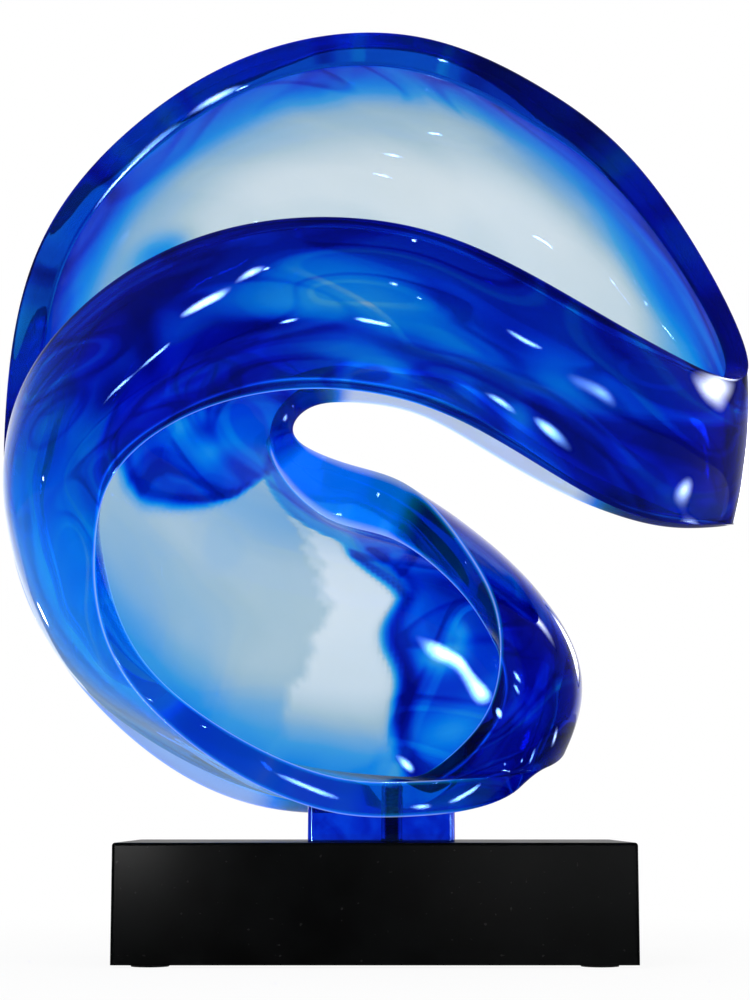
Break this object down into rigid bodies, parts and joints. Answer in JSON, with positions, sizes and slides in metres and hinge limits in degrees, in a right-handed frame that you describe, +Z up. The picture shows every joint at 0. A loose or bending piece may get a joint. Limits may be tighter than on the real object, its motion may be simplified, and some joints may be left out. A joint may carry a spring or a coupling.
{
  "type": "wave sculpture",
  "caption": "Table sculpture: a thick endless band of clear blue glass, twisted into a breaking wave, on a short clear neck over a black rectangular base block.",
  "frame": {"origin": "on the table, in the middle of the base block's footprint, level with the undersides of its felt pads", "axes": "+Z up, -Y out of the front that the picture shows, +X to the right"},
  "size_m": [0.3865, 0.1785, 0.4842],
  "materials": {
    "blue_glass": "polished, clear blue",
    "black_lacquer": "black satin lacquer",
    "stud_steel": "plain zinc-plated steel",
    "pad_felt": "black felt"
  },
  "bodies": {
    "root": {"wave_ribbon": "blue_glass", "neck_block": "blue_glass", "base_block": "black_lacquer", "mounting_stud": "stud_steel", "stud_washer": "stud_steel", "stud_nut": "stud_steel", "felt_pad_front_left": "pad_felt", "felt_pad_front_right": "pad_felt", "felt_pad_rear_left": "pad_felt", "felt_pad_rear_right": "pad_felt"}
  },
  "joints": []
}
